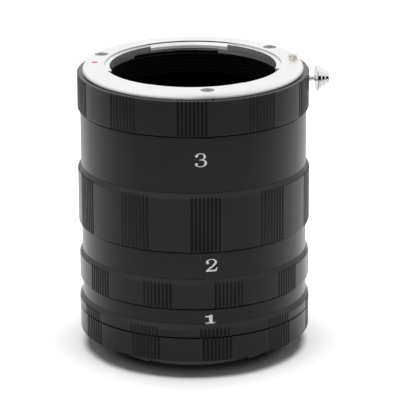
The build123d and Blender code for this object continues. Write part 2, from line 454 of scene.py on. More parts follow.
def spigot_rows(shoulder, radius, relief):
    """Outline points from a ring's upper outside edge past its relieved shoulder to spigot and bore."""
    end = shoulder + spigot_length
    edge = shoulder - relief
    points = [(radius, edge - 2 * edge_round)]
    points += arc(radius - edge_round, edge - edge_round, edge_round, 0, 90, 3)
    points += [(radius - relief_width, edge), (radius - relief_width, shoulder)]
    points += [(spigot_radius, shoulder), (spigot_radius, end - lead), (spigot_radius - lead, end)]
    return points + [(bore_radius, end)]


def trap_rows(radius, start, end):
    """Outline points of the light trap rings in a bore, from low to high."""
    count = int((end - start) / trap_pitch)
    margin = (end - start - count * trap_pitch) / 2
    points = [(radius, start)]
    for index in range(count):
        height = start + margin + index * trap_pitch
        points.append((radius, height))
        points.append((radius + trap_depth, height + 0.5 * trap_pitch))
    points.append((radius, end - margin))
    if margin > 0.01:
        points.append((radius, end))
    return points


def wound(name, outline, pitch, turns, steps):
    """A closed outline wound upwards round the upright axis."""
    piece = chain(name, outline)
    merge()
    applied(piece, "SCREW", axis="Z", angle=math.tau, screw_offset=pitch * MM, iterations=turns,
            steps=steps, render_steps=steps, use_merge_vertices=False)
    edit(piece)
    return piece


def thread(name, root, crest, end, phase):
    """Two turns of a fine screw thread, wound round the light path."""
    middle = end + 0.5 * thread_pitch
    half = 0.42 * thread_pitch
    flat = 0.06 * thread_pitch
    ridge = [(root, middle - half), (crest, middle - flat), (crest, middle + flat), (root, middle + half)]
    piece = wound(name, ridge + ridge[:1], thread_pitch, 2, thread_steps)
    cap_ends(4)
    return smooth(swung(piece, phase), 20)


def outer_thread(shoulder):
    return thread("outer_thread", spigot_radius - thread_sink, spigot_radius + thread_height, shoulder, 0)


def inner_thread(bottom):
    return thread("inner_thread", socket_radius + thread_sink, socket_radius - thread_height, bottom, 180)


def knurled_ring(name, outer, inner, radius, bottom, top, phase):
    """A ring with grouped grooves: one sector is modelled and copied round, then its bore is welded in."""
    shell = chain(name, outer)
    spin(group_columns, group_angle)
    spin(pad_columns, sector_angle - group_angle)
    weld()
    cut_grooves(radius, bottom, top)
    everything()
    spin(groove_groups - 1, math.tau - sector_angle, copies=True)
    weld()
    bore_step = 360 / bore_steps

    def between_bore_columns(place):
        distance, degrees, height = ring_place(place)
        on_rim = any(close(distance, rim[0]) and close(height, rim[1]) for rim in (outer[0], outer[-1]))
        return on_rim and not close(degrees / bore_step, round(degrees / bore_step), 0.01)
    choose(between_bore_columns)
    bpy.ops.mesh.dissolve_verts()
    bore = chain("bore", inner)
    spin(bore_steps, math.tau)
    ring = joined(name, [shell, bore])
    edit(ring)
    weld()
    return swung(ring, phase - 90 - math.degrees(group_angle) / 2)


def make_tube(name, smooth_height, phase):
    """One numbered tube: knurled band below, smooth band and threaded spigot above."""
    bottom = low(name).z
    shoulder = high(name).z - spigot_length
    step = shoulder - smooth_height
    radius = reach(name)
    outer = socket_rows(bottom, bore_radius) + bottom_rows(radius, bottom) + bevel_rows(radius, step)
    outer += spigot_rows(shoulder, smooth_radius, tube_relief)
    inner = trap_rows(bore_radius, bottom + socket_depth, shoulder + spigot_length)
    tube = knurled_ring(name + "_body", outer, inner, radius, bottom, step, phase)
    return joined(name + "_body", [smooth(tube), outer_thread(shoulder), inner_thread(bottom)])


def make_camera_ring():
    """Knurled ring that carries the camera side bayonet."""
    bottom = low("camera_ring").z
    shoulder = high("camera_ring").z - spigot_length
    radius = reach("camera_ring")
    recess = plate_radius + 0.05
    outer = [(web_bore, plate_top), (recess, plate_top), (recess, bottom)] + bottom_rows(radius, bottom)
    outer += spigot_rows(shoulder, radius, ring_relief)
    inner = [(web_bore, plate_top), (web_bore, web_top), (bore_radius, web_top)]
    inner += trap_rows(bore_radius, web_top, shoulder + spigot_length)[1:]
    ring = knurled_ring("camera_ring_body", outer, inner, radius, bottom, shoulder, camera_ring_phase)
    cut(ring, screw_holes(plate_screw_circle, plate_screw_angles, seat, True))
    return joined("camera_ring_body", [smooth(ring), outer_thread(shoulder)])


def make_lens_ring():
    """Knurled ring that carries the lens side bayonet, its lock pocket and stem slot."""
    bottom = low("lens_ring").z
    radius = reach("lens_ring")
    outer = socket_rows(bottom, ledge_radius) + bottom_rows(radius, bottom)
    pocket_wall = skirt_outer_radius + skirt_room
    outer += [(radius, lens_ring_top - edge_round), (radius - 0.12, lens_ring_top - 0.11)]
    outer += [(radius - 2 * edge_round, lens_ring_top), (pocket_wall, lens_ring_top)]
    inner = trap_rows(ledge_radius, bottom + socket_depth, chamber_floor - ledge_lip)
    inner += [(ledge_radius + ledge_lip, chamber_floor), (pocket_wall, chamber_floor)]
    inner += [(pocket_wall, lens_ring_top)]
    ring = knurled_ring("lens_ring_body", outer, inner, radius, bottom, lens_ring_top, lens_ring_phase)
    cut(ring, screw_holes(screw_circle, screw_angles, flange_top, False))
    cut(ring, [lock_pocket()])
    cut(ring, [stem_slot()])
    return joined("lens_ring_body", [smooth(ring), inner_thread(bottom)])


def screw_holes(circle, angles, top, upwards):
    """Countersunk holes, each a little wider than its screw, with a broken edge at the top."""
    head = screw_head_radius + screw_gap
    shank = screw_shank_radius + screw_gap
    outline = [(0, 0.3), (head + 0.38, 0.3), (head, -0.08), (head, -screw_rim)]
    outline += [(shank, -screw_rim - head + shank), (shank, -screw_length - 0.1), (0, -screw_length - 0.1)]
    master = solid("screw_hole", outline)
    return spread(master, circle, angles, top, upwards)


def spread(master, circle, angles, top, upwards):
    """Copies of a shape on a circle about the light path."""
    copies = []
    flip = Matrix.Rotation(math.pi, 4, "X") if upwards else Matrix.Identity(4)
    for degrees in angles:
        turn = Matrix.Rotation(math.radians(degrees), 4, "Z")
        place = Matrix.Translation((circle * MM, 0, top * MM))
        copies.append(placed(copy_of(master, master.name + "_copy"), turn @ place @ flip))
    bpy.data.objects.remove(master)
    return copies


def lock_pocket():
    """Blind hole for the lock pin and its spring."""
    outline = [(0, flange_top + 0.5), (pocket_radius + 0.6, flange_top + 0.5)]
    outline += [(pocket_radius, flange_top - 0.1), (pocket_radius, pocket_floor), (0, pocket_floor)]
    return moved(solid("lock_pocket", outline), at_angle(pin_circle, pin_angle))


def lying(piece, start, height=stem_height):
    """Lay a shape that was turned upright along the lock's radius, from a distance out."""
    lie_down = Matrix.Rotation(math.pi / 2, 4, "Y")
    place = Matrix.Translation((start * MM, 0, height * MM))
    turn = Matrix.Rotation(math.radians(pin_angle), 4, "Z")
    return placed(piece, turn @ place @ lie_down)


def stem_slot():
    """Upright slot through the ring's wall, round at both ends."""
    half_width = stem_radius + stem_gap
    outline = [(0, 0), (half_width, 0), (half_width, slot_depth), (0, slot_depth)]
    slot = solid("stem_slot", outline)
    edit(slot)
    choose(lambda place: place.x < -0.01)
    bpy.ops.transform.translate(value=(-pin_travel * MM, 0, 0))
    return lying(slot, pin_circle, stem_height - pin_travel)


def make_flange():
    """Satin chromed flange: rounded rim, throat and skirt, three claws, and its holes."""
    throat_rim = throat_radius + throat_lead_width
    land_top = claw_top - throat_lead_depth
    land = land_top - throat_land
    step = skirt_inner_radius - throat_radius
    skirt_bottom = lens_ring_top - skirt_drop
    foot_inner = flange_radius - foot_recess
    foot_top = lens_ring_top + foot_rise
    rim_centre = (flange_radius - flange_round, flange_top - flange_round)
    outline = [(throat_rim + throat_soft, flange_top), (throat_rim, flange_top - throat_soft)]
    outline += [(throat_rim, claw_top), (throat_radius, land_top), (throat_radius, claw_bottom)]
    outline += [(throat_radius, land), (skirt_inner_radius, land - step), (skirt_inner_radius, skirt_bottom)]
    outline += [(skirt_outer_radius, skirt_bottom), (skirt_outer_radius, lens_ring_top)]
    outline += [(foot_inner, lens_ring_top), (foot_inner, foot_top), (flange_radius, foot_top + 0.05)]
    outline += arc(rim_centre[0], rim_centre[1], flange_round, 0, 90, 10)
    outline += [(rim_centre[0] - 0.1, flange_top), (throat_rim + 0.2, flange_top)]
    flange = turned("bayonet_flange_body", outline, flange_steps)
    edit(flange)
    for span in claw_angles:
        draw_claw(span)
    weld()
    smooth(flange)
    bead_hole = solid("bead_hole", [(0, 0.3), (bead_radius + 0.3, 0.3), (bead_radius, -0.05),
                                    (bead_radius, -bead_depth), (0, -bead_depth)])
    holes = screw_holes(screw_circle, screw_angles, flange_top, False)
    holes += [lock_pocket(), moved(bead_hole, at_angle(bead_circle, bead_angle, flange_top))]
    return smooth(cut(flange, holes))


def draw_claw(span):
    """Extrude one claw inwards from the throat's wall and round its edges."""
    def in_wall(place):
        distance, degrees, height = ring_place(place)
        on_wall = distance < throat_radius + throat_lead_width + 0.01
        return on_wall and claw_bottom < height < claw_top and between(degrees, span, 0)
    choose(in_wall, "FACE")
    bpy.ops.mesh.extrude_region()
    bpy.ops.mesh.select_mode(type="VERT")
    scale = claw_radius / throat_radius
    scale_radius(scale)
    upper = (throat_radius + throat_lead_width) * scale

    def on_upper(place):
        distance, degrees, height = ring_place(place)
        return close(distance, upper, 0.02) and between(degrees, span)
    choose(on_upper)
    scale = claw_radius / upper
    scale_radius(scale)


def make_screw():
    """Countersunk screw with a cross recess, head face at zero."""
    outline = [(0, 0.0), (screw_head_radius - 0.35, 0.0), (screw_head_radius - 0.1, -0.03)]
    outline += [(screw_head_radius, -0.12), (screw_head_radius, -screw_rim)]
    outline += [(screw_shank_radius, -screw_rim - screw_head_radius + screw_shank_radius)]
    outline += [(screw_shank_radius, -screw_length + 0.25), (screw_shank_radius - 0.25, -screw_length)]
    outline += [(0, -screw_length)]
    screw = solid("screw", outline, 64)
    cut(screw, [recess_bar(0)])
    return cut(screw, [recess_bar(90)])


def recess_bar(degrees):
    """One bar of the cross recess, narrowing as it goes down."""
    length = 1.9
    width = 0.42
    depth = 0.7
    object_mode()
    bpy.ops.mesh.primitive_cube_add(size=1, scale=(length * MM, width * MM, 2 * depth * MM))
    bar = bpy.context.object
    bpy.ops.object.transform_apply(location=True, rotation=True, scale=True)
    edit(bar)
    choose(lambda place: place.z < 0)
    bpy.ops.transform.resize(value=(0.35, 0.6, 1), center_override=(0, 0, 0))
    bpy.ops.object.mode_set(mode="OBJECT")
    return swung(bar, degrees)


def make_bead():
    """Coloured index bead, slightly domed."""
    side = bead_radius - 0.02
    outline = [(0, 0.0), (0.4 * bead_radius, -0.012), (0.75 * bead_radius, -0.05), (side, -0.13)]
    outline += [(side, -bead_depth), (0, -bead_depth)]
    return moved(solid("index_bead_body", outline), at_angle(bead_circle, bead_angle, flange_top))


def make_lock_pin():
    """Lock pin with a domed head, drilled from below for its spring."""
    drill_end = pin_top - pin_cap
    outline = [(0, pin_top), (0.55, pin_top - 0.04)]
    outline += arc(pin_radius - 0.3, pin_top - 0.42, 0.3, 80, 0, 5)
    outline += [(pin_radius, pin_top - 0.5), (pin_radius, pin_bottom + 0.1), (pin_radius - 0.1, pin_bottom)]
    outline += [(pin_drill + 0.08, pin_bottom), (pin_drill, pin_bottom + 0.08)]
    outline += [(pin_drill, drill_end), (0, drill_end + 0.3)]
    return moved(solid("lock_pin_body", outline, 64), at_angle(pin_circle, pin_angle))


def make_stem():
    """Rod from the pin to the button, with a turned neck at the button."""
    length = button_start - stem_start
    neck = 0.16
    outline = [(0, 0), (stem_radius, 0), (stem_radius, length - 1.0), (stem_radius - neck, length - 0.85)]
    outline += [(stem_radius - neck, length - 0.45), (stem_radius, length - 0.3), (stem_radius, length)]
    outline += [(0, length)]
    return lying(solid("release_stem_body", outline), stem_start)


def make_button():
    """Stepped button, each step with rounded edges and a fine groove at its foot."""
    outline = [(0, 0), (button_radii[0] - 0.12, 0), (button_radii[0], 0.12)]
    for index, radius in enumerate(button_radii):
        start = index * button_step
        end = start + button_step
        if index:
            outline += [(radius + 0.1, start), (radius, start + 0.08)]
        outline += [(radius, end - button_edge - 0.06)]
        outline += arc(radius - button_edge, end - button_edge, button_edge, 0, 90, 4)
    face = len(button_radii) * button_step
    outline += [(button_radii[-1] - 0.6, face), (0.7, face - 0.8 * button_dish), (0, face - button_dish)]
    return lying(solid("release_button_body", outline, 96), button_start)


def make_lock_spring():
    """Coil spring under the lock pin."""
    wire = 0.11
    coil = 0.55
    turns = 6
    ceiling = high("lock_pin_spring").z
    rise = (ceiling - pocket_floor - 2 * wire) / turns
    outline = arc(coil, 0, wire, 0, 360, 8)
    spring = wound("lock_pin_spring_body", outline, rise, turns, 24)
    cap_ends(8)
    smooth(spring, 60)
    return moved(spring, at_angle(pin_circle, pin_angle, pocket_floor + wire))


def make_claw_spring(name, span):
    """Leaf spring on edge behind a claw: its ends bear on the skirt and its middle bows inwards."""
    end_radius = skirt_inner_radius - 0.05
    crown = end_radius - 0.45
    half = math.radians(35.0)
    chord = end_radius * math.cos(half)
    centre = (end_radius ** 2 - crown ** 2) / (2 * (chord - crown))
    bow = crown - centre
    swing = math.asin(end_radius * math.sin(half) / bow)
    strip = 0.35
    foot = chamber_floor
    top = chamber_floor + 1.15
    soft = 0.06
    inside = bow - strip
    outline = [(bow, foot + soft), (bow, top - soft), (bow - soft, top), (inside + soft, top)]
    outline += [(inside, top - soft), (inside, foot + soft), (inside + soft, foot), (bow - soft, foot)]
    spring = chain(name, outline + outline[:1])
    merge()
    everything()
    spin(48, 2 * swing)
    cap_ends(8)
    smooth(spring)
    swung(spring, -math.degrees(swing))
    moved(spring, (centre * MM, 0, 0))
    return swung(spring, (span[0] + span[1]) / 2 + 10.5)


def make_camera_bayonet():
    """Chromed camera side bayonet: plate, tube with three lugs, foot lip and lock notch."""
    outline = [(bayonet_bore_radius, 0.1), (bayonet_bore_radius + 0.1, 0), (foot_radius - 0.25, 0)]
    outline += [(foot_radius, 0.25), (foot_radius, foot_height), (bayonet_tube_radius, foot_height)]
    outline += [(bayonet_tube_radius, lug_top), (bayonet_tube_radius, seat), (plate_radius - 0.3, seat)]
    outline += [(plate_radius, seat + 0.3), (plate_radius, plate_top), (bayonet_bore_radius, plate_top)]
    bayonet = turned("camera_bayonet_body", outline, flange_steps)
    edit(bayonet)
    for span in lug_angles:
        def in_wall(place):
            distance, degrees, height = ring_place(place)
            on_wall = close(distance, bayonet_tube_radius, 0.01)
            return on_wall and foot_height < height < lug_top and between(degrees, span, 0)
        choose(in_wall, "FACE")
        bpy.ops.mesh.extrude_region()
        scale = lug_radius / bayonet_tube_radius
        scale_radius(scale)
    weld()
    smooth(bayonet)
    cutters = screw_holes(plate_screw_circle, plate_screw_angles, seat, True)
    notch = solid("notch", [(0, -1), (lock_notch_radius, -1), (lock_notch_radius, 1.1), (0, 1.1)])
    cutters.append(moved(notch, at_angle(lock_notch_circle, lock_notch_angle, seat)))
    return smooth(cut(bayonet, cutters))


# Noise is used between these two values
noise_low = 0.3
noise_high = 0.7


def node(tree, kind, **values):
    """A shader node, with its settings and its inputs by lower case name."""
    made = tree.nodes.new(kind)
    for key, value in values.items():
        if hasattr(made, key):
            setattr(made, key, value)
        else:
            made.inputs[key.replace("_", " ").title()].default_value = value
    return made


def new_material(name, metallic=0.0, specular=0.5):
    """A material, its tree, its shader and its place coordinates."""
    material = bpy.data.materials.new(name)
    material.use_nodes = True
    tree = material.node_tree
    shader = tree.nodes["Principled BSDF"]
    shader.inputs["Metallic"].default_value = metallic
    shader.inputs["Specular IOR Level"].default_value = specular
    return material, tree, shader, node(tree, "ShaderNodeTexCoord")


def noise(tree, coordinates, scale, detail=3.0, roughness=0.55, stretch=(1, 1, 1)):
    """Noise on the piece's own place, at a scale per metre."""
    mapping = node(tree, "ShaderNodeMapping", scale=stretch)
    tree.links.new(coordinates.outputs["Object"], mapping.inputs["Vector"])
    texture = node(tree, "ShaderNodeTexNoise", scale=scale, detail=detail, roughness=roughness)
    tree.links.new(mapping.outputs["Vector"], texture.inputs["Vector"])
    return texture.outputs["Fac"]


def spread_to(tree, value, lowest, highest):
    """Turn noise into a number between two values."""
    spread_out = node(tree, "ShaderNodeMapRange", from_min=noise_low, from_max=noise_high,
                      to_min=lowest, to_max=highest)
    tree.links.new(value, spread_out.inputs["Value"])
    return spread_out.outputs["Result"]


def tinted(tree, value, dark, light):
    """Turn noise into a colour between two colours."""
    ramp = node(tree, "ShaderNodeValToRGB")
    for end, position, colour in zip(ramp.color_ramp.elements, (noise_low, noise_high), (dark, light)):
        end.position = position
        end.color = (*colour, 1)
    tree.links.new(value, ramp.inputs["Fac"])
    return ramp.outputs["Color"]


def bumped(tree, shader, heights, distance, strength):
    """Surface relief from one or more noises, laid over each other."""
    normal = None
    for height in heights:
        bump = node(tree, "ShaderNodeBump", strength=strength, distance=distance)
        tree.links.new(height, bump.inputs["Height"])
        if normal:
            tree.links.new(normal, bump.inputs["Normal"])
        normal = bump.outputs["Normal"]
    tree.links.new(normal, shader.inputs["Normal"])


def coated(tree, shader, cloud, colours, wear, roughness):
    """Colour between two colours by one noise, and roughness between two values by another."""
    tree.links.new(tinted(tree, cloud, *colours), shader.inputs["Base Color"])
    tree.links.new(spread_to(tree, wear, *roughness), shader.inputs["Roughness"])


def black_anodised():
    """Satin black anodised aluminium: fine blasted grain over faint turning marks."""
    material, tree, shader, place = new_material("black_anodised", specular=0.3)
    cloud = noise(tree, place, 120, 4)
    grain = noise(tree, place, 9000, 2)
    turning = noise(tree, place, 3500, 2, 0.5, (0.02, 0.02, 1))
    colours = ((0.011, 0.0107, 0.011), (0.0145, 0.014, 0.0142))
    coated(tree, shader, cloud, colours, grain, (0.17, 0.25))
    bumped(tree, shader, (grain, turning), 0.002 * MM, 0.3)
    return material


def matt_black():
    """Dull black of the bores, which keeps stray light down."""
    material, tree, shader, place = new_material("matt_black", specular=0.05)
    cloud = noise(tree, place, 300, 4)
    grain = noise(tree, place, 6000, 2)
    colours = ((0.0026, 0.0026, 0.0026), (0.0034, 0.0034, 0.0034))
    coated(tree, shader, cloud, colours, grain, (0.75, 0.9))
    bumped(tree, shader, (grain,), 0.01 * MM, 0.5)
    return material


def satin_chrome(name, dark, light, finest, coarsest):
    """Fine satin chrome, slightly uneven."""
    material, tree, shader, place = new_material(name, metallic=1.0)
    cloud = noise(tree, place, 90, 4)
    grain = noise(tree, place, 7000, 2)
    coated(tree, shader, cloud, (dark, light), grain, (finest, coarsest))
    bumped(tree, shader, (grain,), 0.003 * MM, 0.3)
    return material


def polished_chrome():
    """Polished chrome of the button, with faint handling marks."""
    material, tree, shader, place = new_material("polished_chrome", metallic=1.0)
    cloud = noise(tree, place, 900, 4)
    turning = noise(tree, place, 5000, 2, 0.5, (1, 0.05, 0.05))
    coated(tree, shader, cloud, ((0.86, 0.86, 0.865), (0.90, 0.90, 0.905)), cloud, (0.03, 0.06))
    bumped(tree, shader, (turning,), 0.001 * MM, 0.15)
    return material


def polished_steel(name, dark, light):
    """Polished steel of the pin or the stem."""
    material, tree, shader, place = new_material(name, metallic=1.0)
    cloud = noise(tree, place, 700, 4)
    scratch = noise(tree, place, 4000, 2, 0.5, (1, 1, 0.1))
    coated(tree, shader, cloud, (dark, light), scratch, (0.12, 0.22))
    bumped(tree, shader, (scratch,), 0.002 * MM, 0.25)
    return material


def spring_steel():
    """Grey spring steel, rolled."""
    material, tree, shader, place = new_material("spring_steel", metallic=1.0)
    cloud = noise(tree, place, 400, 4)
    rolled = noise(tree, place, 2600, 3, 0.6, (0.15, 0.15, 1))
    coated(tree, shader, cloud, ((0.40, 0.40, 0.40), (0.48, 0.48, 0.48)), rolled, (0.50, 0.62))
    bumped(tree, shader, (rolled,), 0.004 * MM, 0.3)
    return material


def dark_screw_steel():
    """Blackened screw steel with faint turning rings."""
    material, tree, shader, place = new_material("dark_screw_steel", metallic=1.0)
    cloud = noise(tree, place, 1500, 4)
    coated(tree, shader, cloud, ((0.24, 0.235, 0.225), (0.30, 0.295, 0.28)), cloud, (0.34, 0.5))
    bumped(tree, shader, (cloud,), 0.01 * MM, 0.3)
    return material


def red_enamel():
    """Glossy red paint of the index bead."""
    material, tree, shader, place = new_material("red_enamel")
    cloud = noise(tree, place, 1800, 3)
    coated(tree, shader, cloud, ((0.42, 0.035, 0.07), (0.52, 0.05, 0.09)), cloud, (0.22, 0.32))
    bumped(tree, shader, (cloud,), 0.01 * MM, 0.25)
    return material


def white_paint():
    """White paint of the numerals."""
    material, tree, shader, place = new_material("white_paint")
    cloud = noise(tree, place, 2500, 3)
    coated(tree, shader, cloud, ((0.74, 0.74, 0.72), (0.82, 0.82, 0.80)), cloud, (0.5, 0.65))
    bumped(tree, shader, (cloud,), 0.01 * MM, 0.4)
    return material


def dress(piece, material, body, slot=None, *nodes):
    """Give a piece its finish, its body and the nodes that it stands for."""
    piece.data.materials.clear()
    piece.data.materials.append(material)
    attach(piece, body)
    if nodes:
        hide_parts(*nodes)
    return piece


def finish_faces(piece, material, test):
    """Give the faces whose place passes the test another finish."""
    edit(piece)
    piece.data.materials.append(material)
    choose(test, "FACE")
    piece.active_material_index = len(piece.data.materials) - 1
    bpy.ops.object.material_slot_assign()
    object_mode()


def in_bore(place):
    """Whether a face lies inside the bore of a section."""
    return ring_place(place)[0] < bore_radius + trap_depth + 0.02


def on_claw(place):
    """Whether a face of the flange is the upright inner face of a claw."""
    return ring_place(place)[0] < claw_radius + 0.05 and place.z < claw_top - 0.02


def on_land(place):
    """Whether a face of the flange lies on the upright wall between two claws."""
    return close(ring_place(place)[0], throat_radius, 0.03) and place.z < claw_top - throat_lead_depth


def on_lead(place):
    """Whether a face of the flange lies on the sloping lead between two claws."""
    distance, degrees, height = ring_place(place)
    between_claws = not any(between(degrees, span, 0) for span in claw_angles)
    on_slope = throat_radius + 0.05 < distance < throat_radius + throat_lead_width - 0.05
    return between_claws and on_slope and claw_top - throat_lead_depth < height < claw_top


def on_bayonet_tube(place):
    """Whether a face of the camera side bayonet lies on its tube or its lugs."""
    return foot_radius - 0.3 < ring_place(place)[0] < lug_radius + 0.05 and place.z < seat - 0.02


def on_throat_step(place):
    """Whether a face of the flange lies on the low wall round the throat's top."""
    return close(ring_place(place)[0], throat_radius + throat_lead_width, 0.01) and place.z > claw_top


# Outlines of the numerals, in millimetres right and up from the middle of each.
# "r" is a rounded point and "c" a corner.
numeral_3 = [
    (-1.52, 1.05, "r"), (-1.35, 1.41, "r"), (-0.92, 1.71, "r"), (-0.10, 1.86, "r"), (0.82, 1.66, "r"),
    (1.24, 1.05, "r"), (1.08, 0.47, "r"), (0.60, 0.15, "c"), (1.25, -0.16, "r"), (1.56, -0.77, "r"),
    (1.27, -1.38, "r"), (0.58, -1.75, "r"), (-0.10, -1.85, "r"), (-0.96, -1.69, "r"), (-1.50, -1.36, "r"),
    (-1.56, -1.02, "r"), (-1.21, -0.76, "r"), (-0.81, -1.04, "r"), (-0.87, -1.38, "r"), (-0.29, -1.64, "r"),
    (0.43, -1.51, "r"), (0.93, -0.77, "r"), (0.68, -0.20, "r"), (0.14, -0.02, "r"), (-0.42, -0.05, "c"),
    (-0.42, 0.25, "c"), (0.19, 0.27, "r"), (0.64, 0.64, "r"), (0.68, 1.14, "r"), (0.39, 1.57, "r"),
    (-0.19, 1.66, "r"), (-0.75, 1.47, "r"), (-0.77, 1.09, "r"), (-1.11, 0.75, "r"),
]
numeral_2 = [
    (-1.50, 0.69, "r"), (-1.42, 1.15, "r"), (-0.90, 1.58, "r"), (-0.05, 1.73, "r"), (0.85, 1.56, "r"),
    (1.38, 0.92, "r"), (1.10, 0.23, "r"), (0.35, -0.44, "r"), (-0.75, -1.22, "c"), (0.90, -1.18, "r"),
    (1.10, -1.01, "r"), (1.30, -0.57, "c"), (1.50, -0.61, "c"), (1.28, -1.67, "c"), (-1.52, -1.70, "c"),
    (-1.50, -1.38, "c"), (-0.50, -0.51, "r"), (0.35, 0.18, "r"), (0.76, 0.87, "r"), (0.50, 1.36, "r"),
    (-0.10, 1.53, "r"), (-0.80, 1.33, "r"), (-1.00, 1.12, "r"), (-0.68, 0.74, "r"), (-1.05, 0.35, "r"),
]
numeral_1 = [
    (-1.42, 0.62, "c"), (-1.42, 0.98, "c"), (-0.70, 1.02, "r"), (0.05, 1.24, "c"), (0.50, 1.24, "c"),
    (0.50, -0.76, "c"), (1.46, -0.80, "c"), (1.46, -1.20, "c"), (-1.44, -1.24, "c"), (-1.44, -0.84, "c"),
    (-0.42, -0.80, "c"), (-0.42, 0.62, "c"),
]


# A numeral is cut into upright strips, so that it bends round its tube
strip_width = 0.22
strips_each_side = 7
paint_offset = 0.012
paint_thickness = 0.02


def make_numeral(name, outline, ring, degrees, height):
    """A painted numeral laid on the smooth band of its tube."""
    curve = bpy.data.curves.new(name, "CURVE")
    curve.dimensions = "2D"
    curve.fill_mode = "BOTH"
    curve.resolution_u = 6
    spline = curve.splines.new("BEZIER")
    spline.bezier_points.add(len(outline) - 1)
    spline.use_cyclic_u = True
    for point, (right, up, kind) in zip(spline.bezier_points, outline):
        point.co = (right * MM, up * MM, 0)
        point.handle_left_type = "AUTO" if kind == "r" else "VECTOR"
        point.handle_right_type = point.handle_left_type
    numeral = linked(name, curve)
    pick(numeral)
    bpy.ops.object.convert(target="MESH")
    numeral = bpy.context.object
    edit(numeral)
    for strip in range(-strips_each_side, strips_each_side + 1):
        everything()
        bpy.ops.mesh.bisect(plane_co=(strip * strip_width * MM, 0, 0), plane_no=(1, 0, 0))
    object_mode()
    stand_up = Matrix.Rotation(math.pi / 2, 4, "X")
    place = Matrix.Translation((0, -(smooth_radius + 2) * MM, height * MM))
    turn = Matrix.Rotation(math.radians(degrees), 4, "Z")
    numeral.matrix_world = turn @ place @ stand_up
    applied(numeral, "SHRINKWRAP", target=ring, wrap_method="PROJECT", use_project_z=True,
            use_negative_direction=True, use_positive_direction=False, offset=paint_offset * MM)
    applied(numeral, "SOLIDIFY", thickness=paint_thickness * MM, offset=-1.0)
    pick(numeral)
    bpy.ops.object.transform_apply(location=True, rotation=True, scale=True)
    edit(numeral)
    weld()
    return smooth(numeral, 40)


def ranged(tree, value, start, end, first, last):
    """A smooth step of a number from one value to another."""
    step = node(tree, "ShaderNodeMapRange", interpolation_type="SMOOTHSTEP",
                from_min=start, from_max=end, to_min=first, to_max=last)
    tree.links.new(value, step.inputs["Value"])
    return step.outputs["Result"]


def feed(tree, values, sockets):
    """Set each socket to its number, or link it to its output."""
    for value, socket in zip(values, sockets):
        if isinstance(value, float):
            socket.default_value = value
        else:
            tree.links.new(value, socket)


def worked(tree, operation, first, second):
    """Two numbers put together by one operation."""
    made = node(tree, "ShaderNodeMath", operation=operation)
    feed(tree, (first, second), made.inputs)
    return made.outputs["Value"]


def product(tree, *values):
    """All of the numbers multiplied together."""
    result = values[0]
    for value in values[1:]:
        result = worked(tree, "MULTIPLY", result, value)
    return result


def blended(tree, share, first, second):
    """One number or another, by a share from 0 to 1."""
    mix = node(tree, "ShaderNodeMix", data_type="FLOAT")
    feed(tree, (share, first, second), (mix.inputs[0], mix.inputs[2], mix.inputs[3]))
    return mix.outputs[0]


# Lamp above the object, in metres and watts
lamp_height = 0.8
lamp_size = 0.7
lamp_power = 8.9
lamp_target = 0.04

# Distances in metres from the light path's foot at which the floor's brightness changes; the first two spans
# are the edges of a painted shadow round the foot, in reflections and in the picture
reflected_shadow_span = (0.026, 0.036)
painted_shadow_span = (0.0225, 0.0285)
floor_whitens = (0.035, 0.08)
floor_fades = (0.15, 0.45)

# Brightness of the studio: floor in reflections, floor in the picture, and the sky
floor_front = 0.55
floor_back = 1.0
floor_far = 0.65
floor_lit = 0.9
floor_seen_near = 1.08
floor_seen_far = 1.5
# Floor under the camera ring's overhang in the picture: a painted contact shadow
painted_shadow_level = 0.2
# Floor round the foot in reflections: a painted shadow
reflected_shadow_level = 0.05
floor_behind = 0.75
sky_low = 0.08
sky_high = 0.25
sky_front = 0.95
sky_left = 1.06
sky_right = 0.9
patch_level = 0.0

# Where the dark patch of the sky lies, by the direction's parts
patch_middle = 0.25
patch_side = (0.08, 0.13)
patch_upper = (0.42, 0.62)
patch_back = (-0.5, -0.2)


def make_stage():
    """White table top, dim in reflections towards the dark front of the studio, with a painted shadow round
    the foot in the picture and in reflections.
    """
    object_mode()
    bpy.ops.mesh.primitive_plane_add(size=4.0, location=(0, 0, -0.02 * MM))
    floor = bpy.context.object
    floor.name = "floor"
    material, tree, shader, place = new_material("floor_white", specular=0.0)
    shader.inputs["Roughness"].default_value = 0.9
    path = node(tree, "ShaderNodeLightPath")
    split = node(tree, "ShaderNodeSeparateXYZ")
    tree.links.new(place.outputs["Object"], split.inputs["Vector"])
    length = node(tree, "ShaderNodeVectorMath", operation="LENGTH")
    tree.links.new(place.outputs["Object"], length.inputs[0])
    distance = length.outputs["Value"]
    bearing = worked(tree, "DIVIDE", split.outputs["Y"], distance)
    behind = ranged(tree, bearing, -0.7, 0.4, floor_front, floor_back)
    fading = ranged(tree, distance, *floor_fades, 1.0, floor_far)
    # Painted shadow round the foot in reflections, which also darkens the chrome foot
    reflected_painted_shadow = ranged(tree, distance, *reflected_shadow_span, reflected_shadow_level, 1.0)
    straight = ranged(tree, bearing, 0.7, 1.0, 1.0, floor_behind)
    mirrored = product(tree, behind, fading, reflected_painted_shadow, straight)
    # Painted contact shadow round the foot, as the floor is seen in the picture
    painted_contact_shadow = ranged(tree, distance, *painted_shadow_span, painted_shadow_level, 1.0)
    lit = blended(tree, path.outputs["Is Glossy Ray"], floor_lit, mirrored)
    shown = ranged(tree, distance, *floor_whitens, floor_seen_near, floor_seen_far)
    seen = blended(tree, path.outputs["Is Camera Ray"], lit, product(tree, shown, painted_contact_shadow))
    tree.links.new(seen, shader.inputs["Base Color"])
    floor.data.materials.append(material)


